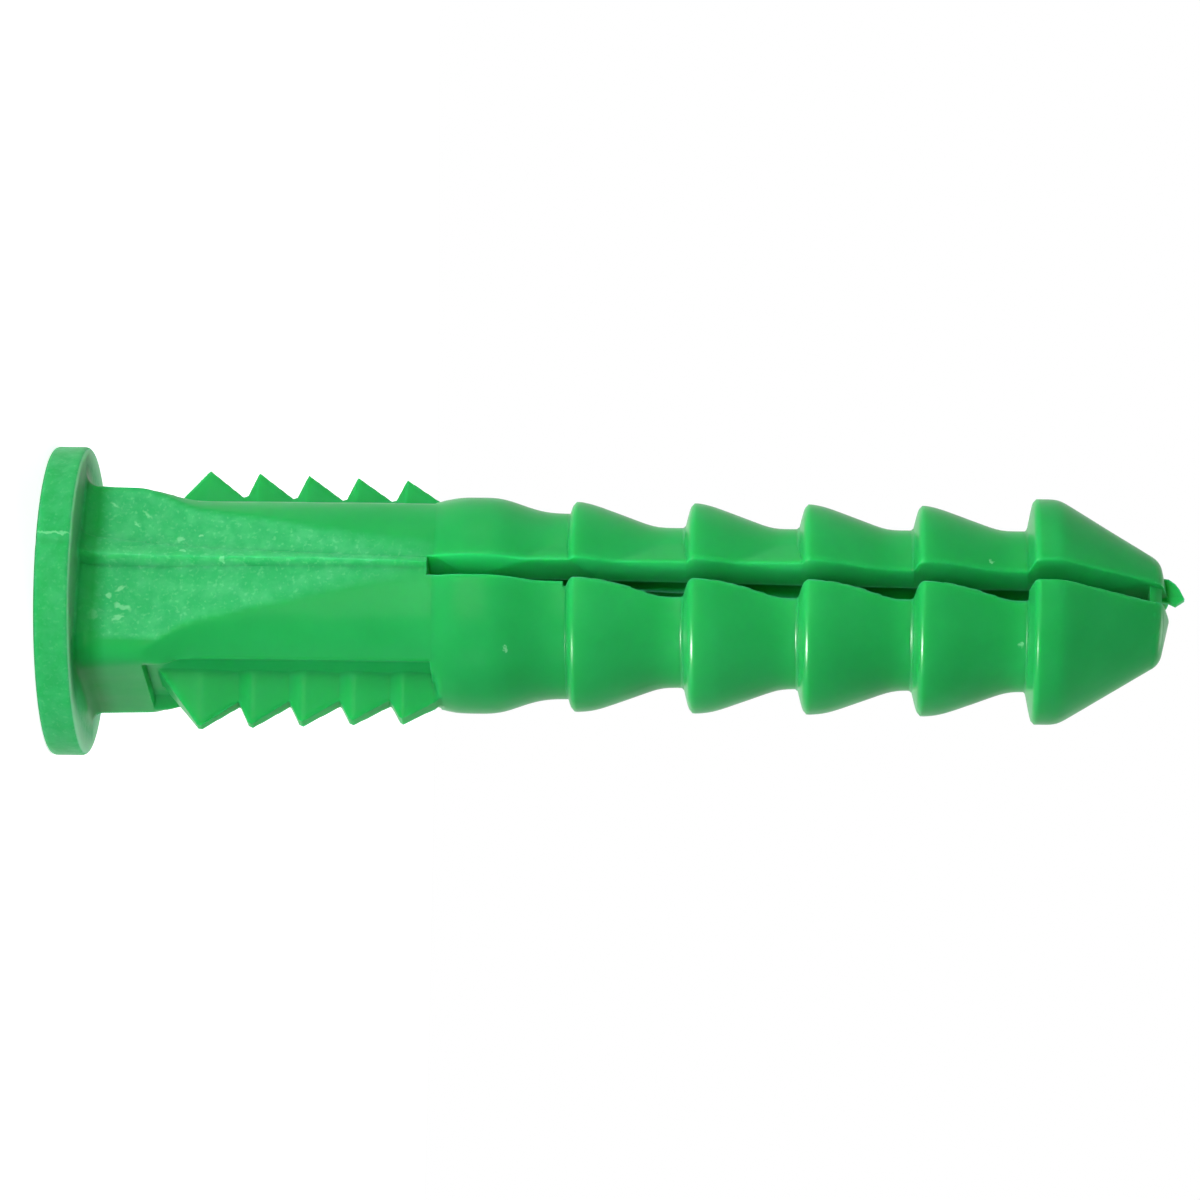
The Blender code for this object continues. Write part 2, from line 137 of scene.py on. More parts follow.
def blank_rows():
    """Rows of radius, height and share. The share is how far a row follows the skin's rule."""
    below_edge = NOSE_TRIM * 2.0
    nose_foot = Vector((NOSE_END_RADIUS + below_edge * NOSE_SLOPE, NOSE_EDGE - below_edge))
    nose_edge = Vector((NOSE_END_RADIUS, NOSE_EDGE))
    nose_top = Vector((0.0, NOSE_END))
    rounding = rounded_corner(nose_top, nose_edge, nose_foot, NOSE_ROUNDING, 8)
    dome = [nose_top.lerp(rounding[0], step / 8) for step in range(1, 8)]
    rows = [(point.x, point.y, 0.0) for point in dome + rounding]
    rows += [(FLANGE_RADIUS, height, 1.0) for height in skin_heights()]
    inner_rim = FLANGE_RADIUS - FLANGE_ROUNDING
    rows += [(inner_rim, FLANGE_THICKNESS, 1.0 - step / 7) for step in range(7)]
    under = Vector((inner_rim - FLANGE_ROUNDING, FLANGE_THICKNESS))
    upper_edge = Vector((FLANGE_RADIUS, FLANGE_THICKNESS))
    lower_edge = Vector((FLANGE_RADIUS, 0.0))
    mouth = Vector((BORE_MOUTH_RADIUS, 0.0))
    lead_in = Vector((BORE_RADIUS, BORE_LEAD_IN))
    bore_end = Vector((BORE_END_RADIUS, BORE_DEPTH))
    rim = rounded_corner(under, upper_edge, lower_edge, FLANGE_ROUNDING, 7)
    rim += [upper_edge.lerp(lower_edge, share) for share in (0.35, 0.5, 0.65)]
    rim += rounded_corner(upper_edge, lower_edge, mouth, FLANGE_ROUNDING, 7)
    rim += [lower_edge.lerp(mouth, step / 6) for step in range(1, 6)]
    rim += rounded_corner(lower_edge, mouth, lead_in, MOUTH_ROUNDING, 5)
    rim += rounded_corner(mouth, lead_in, bore_end, LEAD_IN_ROUNDING, 4)
    rim += [lead_in.lerp(bore_end, step / 12) for step in range(1, 13)]
    rows += [(point.x, point.y, 0.0) for point in rim]
    return rows


def spoke_angles():
    """Angles of the spokes, closest together at the fins and at the mouths of the slit."""
    even = [2.0 * math.pi * step / SPOKES for step in range(SPOKES)]
    return [angle - SPOKE_CROWDING * math.sin(4.0 * angle) / 4.0 for angle in even]


def spun_blank(name):
    """Closed mesh of all the rows, with each point's angle and share kept as attributes."""
    shape = bmesh.new()
    around = shape.verts.layers.float.new("around")
    share_layer = shape.verts.layers.float.new("skin_share")
    angles = spoke_angles()
    rings = []
    for radius, height, share in blank_rows():
        ring = [shape.verts.new((radius * math.cos(a), radius * math.sin(a), height)) for a in angles]
        for vertex, angle in zip(ring, angles):
            vertex[around] = angle
            vertex[share_layer] = share
        rings.append(ring)
    for upper, lower in zip(rings, rings[1:]):
        for spoke in range(SPOKES):
            following = (spoke + 1) % SPOKES
            shape.faces.new((upper[spoke], lower[spoke], lower[following], upper[following]))
    for ring, pole_height in ((rings[0], NOSE_END), (rings[-1], BORE_POINT)):
        pole = shape.verts.new((0.0, 0.0, pole_height))
        for spoke in range(SPOKES):
            shape.faces.new((ring[spoke], ring[(spoke + 1) % SPOKES], pole))
    bmesh.ops.recalc_face_normals(shape, faces=shape.faces)
    mesh = bpy.data.meshes.new(name)
    shape.to_mesh(mesh)
    shape.free()
    spun = bpy.data.objects.new(name, mesh)
    bpy.context.collection.objects.link(spun)
    return spun


moulding = spun_blank("moulded_anchor")

# The form
# The mould gives the blank a square neck, flats with toothed fins in pockets, a collar, barbed rings
# and a nose. One node tree holds that rule: it works out the skin's radius at every height and angle.
form = bpy.data.node_groups.new("anchor_form", "GeometryNodeTree")
form.interface.new_socket(name="Blank", in_out="INPUT", socket_type="NodeSocketGeometry")
form.interface.new_socket(name="Anchor", in_out="OUTPUT", socket_type="NodeSocketGeometry")
form_start = form.nodes.new("NodeGroupInput")
form_end = form.nodes.new("NodeGroupOutput")
form_sizes = {}


class Field:
    """A value in the form's tree. Sums of fields make math nodes, so a rule reads as a formula."""

    def __init__(self, socket):
        self.socket = socket

    def __add__(self, other):
        return reckon("ADD", self, other)

    def __radd__(self, other):
        return reckon("ADD", other, self)

    def __sub__(self, other):
        return reckon("SUBTRACT", self, other)

    def __rsub__(self, other):
        return reckon("SUBTRACT", other, self)

    def __mul__(self, other):
        return reckon("MULTIPLY", self, other)

    def __rmul__(self, other):
        return reckon("MULTIPLY", other, self)

    def __truediv__(self, other):
        return reckon("DIVIDE", self, other)

    def __rtruediv__(self, other):
        return reckon("DIVIDE", other, self)


def feed(socket, value):
    """Link a field to a socket, or set the socket to a plain number."""
    if isinstance(value, Field):
        form.links.new(value.socket, socket)
    else:
        socket.default_value = value


def reckon(operation, *values):
    """Math node on up to three values."""
    node = form.nodes.new("ShaderNodeMath")
    node.operation = operation
    for socket, value in zip(node.inputs, values):
        feed(socket, value)
    return Field(node.outputs[0])


def size(name, value):
    """Named input of the form, with the value that the finished anchor has."""
    socket = form.interface.new_socket(name=name, in_out="INPUT", socket_type="NodeSocketFloat")
    form_sizes[socket.identifier] = value
    return Field(form_start.outputs[name])


def kept_value(name):
    """Value that the blank keeps for each of its points."""
    node = form.nodes.new("GeometryNodeInputNamedAttribute")
    node.data_type = "FLOAT"
    node.inputs["Name"].default_value = name
    return Field(node.outputs["Attribute"])


def least(first, second, blend=0.0):
    """Smaller of two values. A blend rounds the corner where they cross."""
    if blend:
        return reckon("SMOOTH_MIN", first, second, blend)
    return reckon("MINIMUM", first, second)


def most(first, second, blend=0.0):
    """Greater of two values. A blend rounds the corner where they cross."""
    if blend:
        return reckon("SMOOTH_MAX", first, second, blend)
    return reckon("MAXIMUM", first, second)


def past(value, limit):
    """How far a value is past a limit, or nothing."""
    return most(value - limit, 0.0)


def ramp(value, start, end):
    """Smooth step from 0 at the start to 1 at the end."""
    node = form.nodes.new("ShaderNodeMapRange")
    node.interpolation_type = "SMOOTHSTEP"
    feed(node.inputs["Value"], value)
    feed(node.inputs["From Min"], start)
    feed(node.inputs["From Max"], end)
    return Field(node.outputs["Result"])


blank_point = form.nodes.new("GeometryNodeInputPosition")
blank_parts = form.nodes.new("ShaderNodeSeparateXYZ")
form.links.new(blank_point.outputs[0], blank_parts.inputs[0])
across = Field(blank_parts.outputs["X"])
depth = Field(blank_parts.outputs["Y"])
height = Field(blank_parts.outputs["Z"])
angle = kept_value("around")
skin_share = kept_value("skin_share")
blank_radius = reckon("SQRT", across * across + depth * depth)
towards_fin = reckon("COSINE", angle)
towards_slit = reckon("SINE", angle)
LEAST_WAY = 0.02
fin_way = most(reckon("ABSOLUTE", towards_fin), LEAST_WAY)
slit_way = most(reckon("ABSOLUTE", towards_slit), LEAST_WAY)
from_flange = height - FLANGE_THICKNESS
shank_share = from_flange / (SHANK_END - FLANGE_THICKNESS)
leg_side = reckon("SIGN", towards_fin)
slit_side = reckon("SIGN", towards_slit)
flash_side = past(leg_side * slit_side, 0.0)

# Slopes at which a form runs out past its end.
GENTLE_END = 2.0
FIRM_END = 3.0
STEEP_END = 4.0
SHARP_END = 6.0
POCKET_WALL = 8.0
FIN_FOOT_END = 12.0

# Neck, collar and waist: the corners of the square neck run down into the round shank. The fall from
# the collar to the waist starts above the neck and stays clear of it.
NECK_CORNER_RADIUS = 4.60 * MM
NECK_LENGTH = 3.60 * MM
SHANK_RADIUS = 3.54 * MM
COLLAR_RADIUS = 3.69 * MM
WAIST_RADIUS = 3.17 * MM
WAIST_LENGTH = 1.50 * MM
WAIST_END = RINGS_START + 0.3 * MM
CLEAR_OF_NECK = 3.0 * MM
CLEAR_HEIGHT = 5.0 * MM
shank_radius = size("Shank Radius", SHANK_RADIUS)
neck_radius = size("Neck Corner Radius", NECK_CORNER_RADIUS)
collar_radius = size("Collar Radius", COLLAR_RADIUS)
waist_radius = size("Waist Radius", WAIST_RADIUS)
neck_slope = (NECK_CORNER_RADIUS - SHANK_RADIUS) / NECK_LENGTH
collar_slope = (COLLAR_RADIUS - SHANK_RADIUS) / (COLLAR_START - SHANK_END)
fall_slope = (COLLAR_RADIUS - WAIST_RADIUS) / WAIST_LENGTH
neck = neck_radius - from_flange * neck_slope
collar = least(shank_radius + past(height, SHANK_END) * collar_slope, collar_radius, blend=0.12 * MM)
turned = most(neck, collar, blend=0.25 * MM)
fall = collar_radius + CLEAR_OF_NECK * ramp(height, SHANK_END, CLEAR_HEIGHT)
fall = fall - (height - COLLAR_FALL) * fall_slope
turned = least(turned, fall, blend=0.25 * MM)
waist = waist_radius - past(height, WAIST_END) * GENTLE_END
turned = most(turned, waist, blend=0.35 * MM)

# Barbed rings: one barb, repeated along the axis. Its steep shoulder looks at the flange. The crests,
# in millimetres, are wider on one leg than on the other.
RING_SLOPE = math.tan(math.radians(20.0))
CREST_WIDTH = 0.74
CREST_SHIFT = 0.14
BARBS_START = RINGS_START - 0.2 * MM
ring_radius = size("Ring Radius", 3.60 * MM)
valley_radius = size("Valley Radius", 2.73 * MM)
crest_end = (CREST_WIDTH + leg_side * CREST_SHIFT) * MM
ring_index = reckon("FLOOR", (height - RINGS_START - FIRST_RING_EXTRA) / RING_PITCH)
ring_index = least(most(ring_index, 0.0), RING_COUNT - 1.0)
ring_start = ring_index * RING_PITCH + least(ring_index, 1.0) * FIRST_RING_EXTRA + RINGS_START
along_ring = height - ring_start
to_next_ring = along_ring - RING_PITCH - most(1.0 - ring_index, 0.0) * FIRST_RING_EXTRA
shoulder_slope = (ring_radius - valley_radius) / SHOULDER_RUN
shoulder = valley_radius + along_ring * shoulder_slope
next_shoulder = valley_radius + to_next_ring * shoulder_slope
cone = ring_radius - (along_ring - crest_end) * RING_SLOPE
barb = least(shoulder, ring_radius, blend=0.85 * MM)
barb = least(barb, cone, blend=0.30 * MM)
barb = most(barb, valley_radius, blend=0.22 * MM)
barb = most(barb, least(next_shoulder, ring_radius), blend=0.50 * MM)
turned = most(turned, barb - past(BARBS_START, height) * GENTLE_END, blend=0.10 * MM)

# Last ring and nose.
last_radius = size("Last Ring Radius", LAST_RING_RADIUS)
last_slope = (last_radius - valley_radius) / SHOULDER_RUN
last_shoulder = valley_radius + (height - LAST_RING_START) * last_slope
nose = last_radius - (height - LAST_CREST_END) * NOSE_SLOPE
last_barb = least(last_shoulder, last_radius, blend=0.75 * MM)
last_barb = least(last_barb, nose, blend=0.25 * MM)
turned = most(turned, last_barb, blend=0.25 * MM)
nose_limit = most(nose, 0.0) + past(LAST_CREST_END, height) * FIRM_END
turned = least(turned, nose_limit, blend=0.05 * MM)

# Flats on the fin sides and hollow faces on the slit sides, which stop where the collar starts. One
# half of each hollow face has draft, and the other runs into the flat over a soft corner. The drafts,
# depths and corners are in millimetres, and a fade of 2 would end half-way up the shank.
NECK_DRAFT = 0.15
NECK_DRAFT_SHIFT = 0.07
NECK_DRAFT_FADE = 3.4
HOLLOW_DEPTH = 1.1
HOLLOW_CURVE = 1.8
FACE_DRAFT = 0.12
SHANK_CORNER = 0.60
NECK_CORNER = 1.9
NECK_CORNER_FADE = 2.5
LEAST_CORNER = 0.12 * MM
neck_flat = size("Neck Flat Distance", 3.10 * MM)
face_at_flange = size("Face Distance at Flange", 2.84 * MM)
face_at_collar = size("Face Distance at Collar", 3.52 * MM)
past_shank = past(height, SHANK_END) * STEEP_END
neck_draft = past(1.0, shank_share * NECK_DRAFT_FADE) * (NECK_DRAFT - leg_side * NECK_DRAFT_SHIFT) * MM
flat = (neck_flat + neck_draft + past_shank) / fin_way
face_hollow = reckon("POWER", past(1.0, shank_share), HOLLOW_CURVE) * HOLLOW_DEPTH * MM
face_distance = most(face_at_flange, face_at_collar - face_hollow, blend=0.05 * MM) + past_shank
face = face_distance / (slit_way + fin_way * flash_side * FACE_DRAFT)
neck_share = past(1.0, shank_share * NECK_CORNER_FADE)
corner_blend = (1.0 - flash_side) * (SHANK_CORNER + neck_share * NECK_CORNER) * MM + LEAST_CORNER
body = least(turned, least(flat, face, blend=corner_blend), blend=0.10 * MM)

# The hollow faces are frosted up to their corners, and plain again at the collar.
face_corner = least(turned, flat - corner_blend * 0.5)
frost = ramp(face_corner - face, -0.03 * MM, 0.12 * MM)
frost = frost * ramp(height, SHANK_END + 0.3 * MM, SHANK_END - 0.8 * MM)

# Pockets in the fin sides, with steep walls.
pocket_floor = size("Pocket Floor", 2.80 * MM)
pocket_half_width = size("Pocket Half Width", 1.96 * MM)
outside_pocket = past(POCKET_START, height) + past(height, POCKET_END)
outside_pocket = outside_pocket + past(body * slit_way, pocket_half_width)
body = least(body, pocket_floor / fin_way + outside_pocket * POCKET_WALL, blend=0.08 * MM)

# Toothed fins: one tooth, repeated along the fin. It rises steeply on the side of the flange, at its
# crest and at both sides, and the first one starts at the pocket's floor. The two fins are shifted
# against each other along the axis and in reach, in millimetres.
TOOTH_SHIFT = 0.06
TIP_SHIFT = 0.12
FIN_DRAFT = math.tan(math.radians(18.0))
FIN_END = SHANK_END + 0.1 * MM
first_tip = size("First Tooth Radius", 4.76 * MM)
tip_fall = size("Tooth Fall", 0.08 * MM)
first_gullet = size("First Gullet Radius", 3.74 * MM)
gullet_fall = size("Gullet Fall", 0.035 * MM)
tooth_half_width = size("Tooth Half Width", 0.80 * MM)
gullet_half_width = size("Gullet Half Width", 0.60 * MM)
foot_reach = size("Foot Reach", 2.85 * MM)
tooth_height = height - leg_side * TOOTH_SHIFT * MM
tooth_index = reckon("FLOOR", (tooth_height - FIRST_TOOTH + TOOTH_LEAN) / TOOTH_PITCH)
tooth_index = least(most(tooth_index, 0.0), TOOTH_COUNT - 1.0)
along_tooth = tooth_height - FIRST_TOOTH - tooth_index * TOOTH_PITCH
first_only = most(1.0 - tooth_index, 0.0)
tip = first_tip - leg_side * TIP_SHIFT * MM - tooth_index * tip_fall
gullet = first_gullet - tooth_index * gullet_fall
steep_run = TOOTH_LEAN + first_only * (FIRST_TOOTH - FIN_START - TOOTH_LEAN)
steep = tip + along_tooth * (tip - gullet + first_only * (gullet - foot_reach)) / steep_run
gentle = tip - along_tooth * (tip - gullet) / (TOOTH_PITCH - TOOTH_LEAN)
reach = least(steep, gentle, blend=0.02 * MM)
on_first_foot = first_only * reckon("LESS_THAN", along_tooth, 0.0)
tooth_share = most((reach - gullet) / (tip - gullet), on_first_foot)
root_half_width = gullet_half_width + (tooth_half_width - gullet_half_width) * tooth_share
fin_side = (root_half_width + pocket_floor * FIN_DRAFT) / (slit_way + fin_way * FIN_DRAFT)
fin = least(reach / fin_way, fin_side, blend=0.03 * MM)
fin = fin - past(FIN_START, height) * FIN_FOOT_END - past(height, FIN_END) * FIRM_END
body = most(body, fin, blend=0.14 * MM)

# Flash of the mould: a ridge from the flange to the slit, with a steep side by the slit plane. It is
# highest and widest at the flange. Its foot, peak and width are in millimetres from the slit plane.
RIDGE_END = SHANK_END - 0.10 * MM
ridge_left = past(1.0, shank_share)
ridge_height = size("Ridge Height", 0.46 * MM) * (ridge_left * 0.55 + 0.45)
ridge_foot = (ridge_left * 0.27 - 0.09) * MM
ridge_peak = ridge_foot + (ridge_left * 0.08 + 0.12) * MM
ridge_width = ridge_peak + (ridge_left * ridge_left * 0.70 + 0.25) * MM
across_face = face_distance * towards_fin * slit_side / slit_way
steep_side = (across_face - ridge_foot) / (ridge_peak - ridge_foot)
gentle_side = (ridge_width - across_face) / (ridge_width - ridge_peak)
ridge_rise = least(steep_side, gentle_side, blend=0.10)
on_ridge = reckon("GREATER_THAN", ridge_rise, 0.0) * reckon("GREATER_THAN", slit_way, 0.5)
on_ridge = on_ridge * reckon("LESS_THAN", height, RIDGE_END)
ridge = on_ridge * (face_distance + ridge_height * ridge_rise) / slit_way
body = most(body, ridge)

# Fillet where the neck runs into the flange.
under_fillet = least(past(FLANGE_THICKNESS + NECK_FILLET, height) / NECK_FILLET, 1.0)
fillet = (1.0 - reckon("SQRT", 1.0 - under_fillet * under_fillet)) * NECK_FILLET
body = body + least(fillet, NECK_FILLET)


def fan(distance, foot_x, foot_y, start, end):
    """Flash along one lip of each slit mouth: a flat face from the slit plane to its foot."""
    slant = math.atan2(distance - foot_y, foot_x)
    plane = distance * math.cos(slant) / (fin_way * math.sin(slant) + slit_way * math.cos(slant))
    plane = plane - (1.0 - flash_side) * MM
    plane = plane - past(start, height) * STEEP_END - past(height, end) * STEEP_END
    return plane - past(fin_way * plane, foot_x) * SHARP_END


waist_fan_end = RINGS_START + SHOULDER_RUN
valley_fan_end = waist_fan_end + 2.0 * RING_PITCH + FIRST_RING_EXTRA
waist_fan = fan(distance=3.61 * MM, foot_x=1.10 * MM, foot_y=2.93 * MM,
                start=COLLAR_FALL, end=waist_fan_end)
valley_fan = fan(distance=3.50 * MM, foot_x=1.50 * MM, foot_y=2.26 * MM,
                 start=waist_fan_end, end=valley_fan_end)
body = most(body, waist_fan, blend=0.03 * MM)
body = most(body, valley_fan, blend=0.03 * MM)

# Rounded lips along the mouths of the slit. In the valleys one lip is cut back.
lip_rounding = size("Lip Rounding", 0.13 * MM)
cut_back = past(ring_radius, body) * LIP_LEAN * (1.0 - flash_side)
cut_back = cut_back * reckon("GREATER_THAN", height, RINGS_START)
cut_back = cut_back * reckon("LESS_THAN", height, LAST_RING_START)
lip_distance = fin_way * body - SLIT_WIDTH / 2.0 - cut_back
near_lip = least(past(lip_rounding, lip_distance) / lip_rounding, 1.0)
lip_drop = (1.0 - reckon("SQRT", 1.0 - near_lip * near_lip)) * lip_rounding
body = body - lip_drop * reckon("GREATER_THAN", height, SHANK_END)

# Slight shrinkage of the cooled plastic, and the parting mark on the flange's rim.
SHRINK_SCALE = 350.0
SHRINKAGE = 0.05
RIM_MARK_DEPTH = 0.04
shrink_noise = form.nodes.new("ShaderNodeTexNoise")
shrink_noise.inputs["Scale"].default_value = SHRINK_SCALE
shrink_noise.inputs["Detail"].default_value = 2.0
shrinkage = (Field(shrink_noise.outputs[0]) - 0.5) * SHRINKAGE * MM
rim_mark = ramp(reckon("ABSOLUTE", across), 0.22 * MM, 0.05 * MM)
rim_mark = rim_mark * ramp(blank_radius, 4.9 * MM, 5.1 * MM)
rim_mark = rim_mark * (1.0 - skin_share) * RIM_MARK_DEPTH * MM

# The flange is half as frosted as the hollow faces, and the paler tone this gives its rim is partly
# painted highlight. Its underside is marked by values from 1 to 2, for a painted pale sheen.
RIM_FROST_AND_HIGHLIGHT = 0.5
UNDERSIDE_SHEEN_VALUE = 1.5
on_flange = (1.0 - skin_share) * ramp(blank_radius, 3.4 * MM, 3.9 * MM)
on_flange = on_flange * ramp(height, 1.3 * MM, 1.25 * MM)
under_flange = on_flange * ramp(height, 1.12 * MM, 1.17 * MM)
frost_and_painted_sheen = frost * skin_share + on_flange * RIM_FROST_AND_HIGHLIGHT + under_flange * UNDERSIDE_SHEEN_VALUE
flat_radius = blank_radius * (1.0 - skin_share)
radius = flat_radius + body * skin_share + shrinkage * skin_share - rim_mark

new_place = form.nodes.new("ShaderNodeCombineXYZ")
feed(new_place.inputs["X"], radius * towards_fin)
feed(new_place.inputs["Y"], radius * towards_slit)
feed(new_place.inputs["Z"], height)
NEAR_AXIS = 0.001 * MM
at_pole = reckon("LESS_THAN", blank_radius, NEAR_AXIS)
set_place = form.nodes.new("GeometryNodeSetPosition")
feed(set_place.inputs["Selection"], 1.0 - at_pole)
# The stored values hold the frost, the painted highlight on the flange's rim and the painted sheen on its
# underside.
keep_frost_and_painted_sheen = form.nodes.new("GeometryNodeStoreNamedAttribute")
keep_frost_and_painted_sheen.data_type = "FLOAT"
keep_frost_and_painted_sheen.inputs["Name"].default_value = "frost"
feed(keep_frost_and_painted_sheen.inputs["Value"], frost_and_painted_sheen)
realize = form.nodes.new("GeometryNodeRealizeInstances")
set_plastic = form.nodes.new("GeometryNodeSetMaterial")
form.links.new(form_start.outputs["Blank"], keep_frost_and_painted_sheen.inputs["Geometry"])
form.links.new(keep_frost_and_painted_sheen.outputs["Geometry"], set_place.inputs["Geometry"])
form.links.new(new_place.outputs[0], set_place.inputs["Position"])
form.links.new(set_place.outputs["Geometry"], realize.inputs["Geometry"])
form.links.new(realize.outputs["Geometry"], set_plastic.inputs["Geometry"])
form.links.new(set_plastic.outputs["Geometry"], form_end.inputs["Anchor"])

# The plastic
# Dyed nylon, slightly cloudy, with the sheen of a polished mould. The hollow faces by the slit are
# frosted where the mould was left rough.
CLEAR_GREEN = (0.014, 0.400, 0.088, 1.0)
CLOUDY_GREEN = (0.020, 0.450, 0.105, 1.0)
FROSTED_AND_HIGHLIGHT_GREEN = (0.040, 0.470, 0.150, 1.0)
MOTTLED_GREEN = (0.072, 0.540, 0.200, 1.0)
PAINTED_UNDERSIDE_SHEEN_GREEN = (0.300, 0.760, 0.430, 1.0)
SPECK_GREEN = (0.220, 0.740, 0.380, 1.0)
SCUFF_AND_GLINT_GREEN = (0.300, 0.800, 0.440, 1.0)
NECK_ROOT_GREEN = (0.003, 0.280, 0.045, 1.0)
SLIT_GREEN = (0.030, 0.800, 0.220, 1.0)
SPECK_SHARE = 0.30
SCUFF_AND_GLINT_SHARE = 0.50
NECK_ROOT_SHARE = 0.85
SLIT_START_SHARE = 0.60
SLIT_END_SHARE = 0.12
ROUGHNESS = 0.30
FROSTED_ROUGHNESS = 0.52
FROST_BUMP_SHARE = 0.9

# Scuffs, and a few painted glints, by their place across, in depth and in height, half length, half width
# and turn. Noise moves the points of a mark by half of its raggedness on average, and its middle is moved
# as far.
RAGGEDNESS = 0.30
SCUFF_AND_GLINT_HALF_DEPTH = 0.8 * MM
SCUFFS_AND_GLINTS = ((-2.13, -3.0, 3.37, 0.34, 0.08, 50.0), (-1.75, -3.0, 3.05, 0.20, 0.05, 40.0),
          (-1.14, -3.0, 4.56, 0.14, 0.12, 0.0), (-0.58, -3.0, 4.73, 0.14, 0.10, 20.0),
          (-1.32, -3.0, 5.27, 0.10, 0.08, 0.0), (-0.20, -3.2, 6.09, 0.10, 0.10, 0.0),
          (-2.50, -3.0, 2.20, 0.30, 0.08, 30.0), (1.62, -3.0, 1.75, 0.20, 0.26, 0.0),
          (1.35, -3.0, 2.75, 0.40, 0.12, 15.0), (1.75, -3.0, 2.60, 0.25, 0.10, -20.0),
          (0.70, -3.0, 2.62, 0.22, 0.10, -30.0), (0.95, -3.0, 2.25, 0.16, 0.08, 20.0),
          # The three small round marks that follow are painted glints, on the collar's fall and on the
          # fourth ring.
          (2.58, -2.51, 15.67, 0.07, 0.07, 0.0), (-0.65, -2.93, 31.94, 0.07, 0.07, 0.0),
          (1.99, -1.97, 32.96, 0.11, 0.08, 0.0), (-0.30, -5.27, 0.60, 0.70, 0.07, 4.0))
plastic = bpy.data.materials.new("green_nylon")
plastic.use_nodes = True
plastic_nodes = plastic.node_tree.nodes
plastic_links = plastic.node_tree.links
shader = plastic_nodes["Principled BSDF"]
coordinates = plastic_nodes.new("ShaderNodeTexCoord")


def grain(scale, detail=2.0, distortion=0.0):
    """Noise in the plastic, with its scale in features for each metre."""
    node = plastic_nodes.new("ShaderNodeTexNoise")
    node.inputs["Scale"].default_value = scale
    node.inputs["Detail"].default_value = detail
    node.inputs["Distortion"].default_value = distortion
    plastic_links.new(coordinates.outputs["Object"], node.inputs["Vector"])
    return node.outputs[0]


def blended(kind, share, first, second):
    """Mix of two numbers or two colours by a share."""
    node = plastic_nodes.new("ShaderNodeMix")
    node.data_type = kind
    ends = {"FLOAT": (2, 3, 0), "RGBA": (6, 7, 2)}[kind]
    for socket, value in ((0, share), (ends[0], first), (ends[1], second)):
        if isinstance(value, bpy.types.NodeSocket):
            plastic_links.new(value, node.inputs[socket])
        else:
            node.inputs[socket].default_value = value
    return node.outputs[ends[2]]


def stretched(value, low, high):
    """Part of a number's range, spread from 0 to 1."""
    node = plastic_nodes.new("ShaderNodeMapRange")
    node.inputs["From Min"].default_value = low
    node.inputs["From Max"].default_value = high
    plastic_links.new(value, node.inputs["Value"])
    return node.outputs["Result"]


def product(first, second):
    """Product of two numbers in the plastic's tree."""
    node = plastic_nodes.new("ShaderNodeMath")
    node.operation = "MULTIPLY"
    for socket, value in zip(node.inputs, (first, second)):
        if isinstance(value, bpy.types.NodeSocket):
            plastic_links.new(value, socket)
        else:
            socket.default_value = value
    return node.outputs[0]


def greater(first, second):
    """Greater of two numbers in the plastic's tree."""
    node = plastic_nodes.new("ShaderNodeMath")
    node.operation = "MAXIMUM"
    plastic_links.new(first, node.inputs[0])
    plastic_links.new(second, node.inputs[1])
    return node.outputs[0]


def scuff_and_glint_mark(across_place, depth_place, height_place, half_length, half_width, turn):
    """Pale mark on the front, for a scuff and for a painted glint: an oval with ragged edges, in
    millimetres and degrees.
    """
    ragged = plastic_nodes.new("ShaderNodeVectorMath")
    ragged.operation = "MULTIPLY_ADD"
    plastic_links.new(ragged_noise.outputs["Color"], ragged.inputs[0])
    ragged.inputs[1].default_value = (RAGGEDNESS * MM, 0.0, RAGGEDNESS * MM)
    plastic_links.new(coordinates.outputs["Object"], ragged.inputs[2])
    oval = plastic_nodes.new("ShaderNodeMapping")
    oval.vector_type = "TEXTURE"
    middle = (across_place + RAGGEDNESS / 2.0, depth_place, height_place + RAGGEDNESS / 2.0)
    oval.inputs["Location"].default_value = [coordinate * MM for coordinate in middle]
    oval.inputs["Rotation"].default_value = (0.0, math.radians(turn), 0.0)
    oval.inputs["Scale"].default_value = (half_width * MM, SCUFF_AND_GLINT_HALF_DEPTH, half_length * MM)
    plastic_links.new(ragged.outputs[0], oval.inputs["Vector"])
    from_middle = plastic_nodes.new("ShaderNodeVectorMath")
    from_middle.operation = "LENGTH"
    plastic_links.new(oval.outputs[0], from_middle.inputs[0])
    return stretched(from_middle.outputs["Value"], low=1.0, high=0.55)


ragged_noise = plastic_nodes.new("ShaderNodeTexNoise")
ragged_noise.inputs["Scale"].default_value = 5000.0
plastic_links.new(coordinates.outputs["Object"], ragged_noise.inputs["Vector"])
# The frost attribute also holds the painted highlight of the flange's rim and the painted sheen of its
# underside.
frost_and_sheen_values = plastic_nodes.new("ShaderNodeAttribute")
frost_and_sheen_values.attribute_name = "frost"
frost_and_painted_sheen_mask = stretched(frost_and_sheen_values.outputs["Fac"], low=0.0, high=1.0)
painted_underside_sheen_mask = stretched(frost_and_sheen_values.outputs["Fac"], low=1.0, high=2.0)
scuffs_and_glints = scuff_and_glint_mark(*SCUFFS_AND_GLINTS[0])
for mark in SCUFFS_AND_GLINTS[1:]:
    scuffs_and_glints = greater(scuffs_and_glints, scuff_and_glint_mark(*mark))
cloud = stretched(grain(scale=260.0, detail=3.0), low=0.35, high=0.65)
speck = product(stretched(grain(scale=7000.0), low=0.56, high=0.72), frost_and_painted_sheen_mask)
mottle_grain = grain(scale=2000.0, detail=6.0, distortion=0.3)
mottle = product(stretched(mottle_grain, low=0.38, high=0.66), frost_and_painted_sheen_mask)
